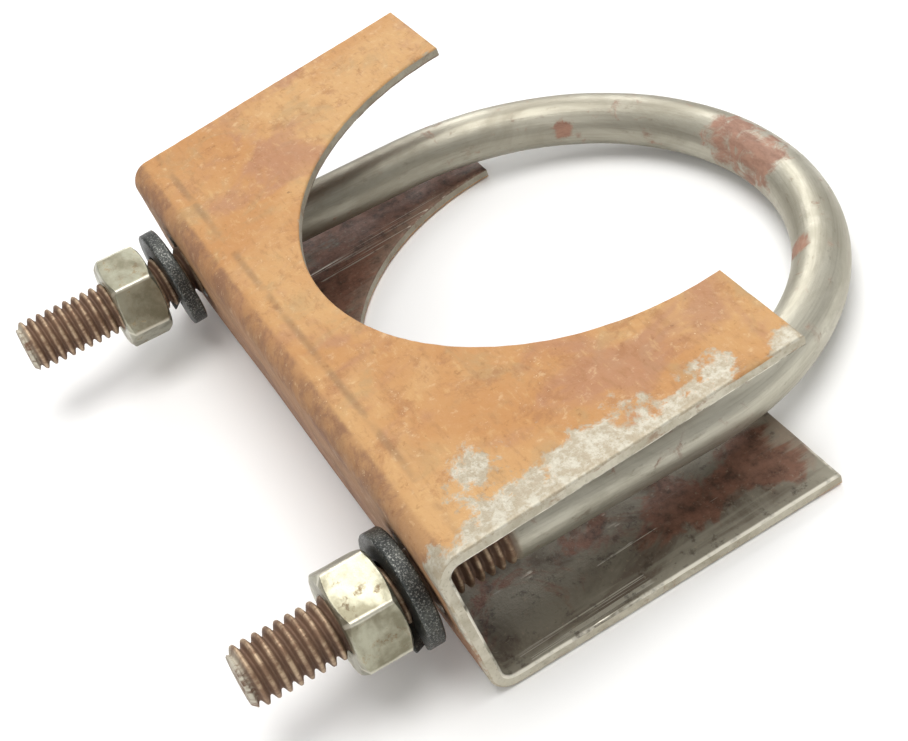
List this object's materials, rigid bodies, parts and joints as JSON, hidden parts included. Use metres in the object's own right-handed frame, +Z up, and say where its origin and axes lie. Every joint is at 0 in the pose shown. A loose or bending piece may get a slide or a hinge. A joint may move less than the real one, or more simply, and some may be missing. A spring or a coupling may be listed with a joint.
{
  "type": "u-bolt exhaust clamp",
  "caption": "Exhaust U-bolt clamp: 5/16-18 U-bolt, pressed channel saddle, two split lock washers and two hex nuts, rusty bare steel.",
  "frame": {"origin": "on the axis of the saddle's pipe seat, half-way up the saddle's web", "axes": "+X along the saddle towards the right leg, +Y from the nuts towards the bend of the U-bolt, +Z up from the face it lies on"},
  "size_m": [0.1052, 0.1087, 0.0256],
  "materials": {
    "rod_steel": "satin, lightly rusted",
    "rusty_sheet": "matte flash rust",
    "black_spring_steel": "black oxide",
    "nut_zinc": "satin zinc"
  },
  "bodies": {
    "u_bolt_body": {"u_bolt": "rod_steel"},
    "saddle_body": {"saddle": "rusty_sheet"},
    "right_washer_body": {"right_washer": "black_spring_steel"},
    "left_washer_body": {"left_washer": "black_spring_steel"},
    "right_nut_body": {"right_nut": "nut_zinc"},
    "left_nut_body": {"left_nut": "nut_zinc"}
  },
  "joints": [
    {"name": "saddle_slide", "type": "slide", "parent": "u_bolt_body", "child": "saddle_body", "axis": [-0.0253, 0.9957, -0.0889], "range_m": [0, 0.034]},
    {"name": "right_nut_travel", "type": "slide", "parent": "u_bolt_body", "child": "right_washer_body", "axis": [0.0253, -0.9957, 0.0889], "range_m": [0, 0.011]},
    {"name": "right_nut_spin", "type": "hinge", "parent": "right_washer_body", "child": "right_nut_body", "pos_m": [0.03989, -0.05563, -0.00002], "axis": [0.0253, -0.9957, 0.0889], "range_deg": [0, 2807.3]},
    {"name": "left_nut_travel", "type": "slide", "parent": "u_bolt_body", "child": "left_washer_body", "axis": [0.0253, -0.9957, 0.0889], "range_m": [0, 0.011]},
    {"name": "left_nut_spin", "type": "hinge", "parent": "left_washer_body", "child": "left_nut_body", "pos_m": [-0.03888, -0.05761, 0.00016], "axis": [0.0253, -0.9957, 0.0889], "range_deg": [0, 2807.3]}
  ],
  "couplings": [
    {"joint": "right_nut_spin", "follows": "right_nut_travel", "rad_per_m": 4452.7},
    {"joint": "left_nut_spin", "follows": "left_nut_travel", "rad_per_m": 4452.7}
  ]
}
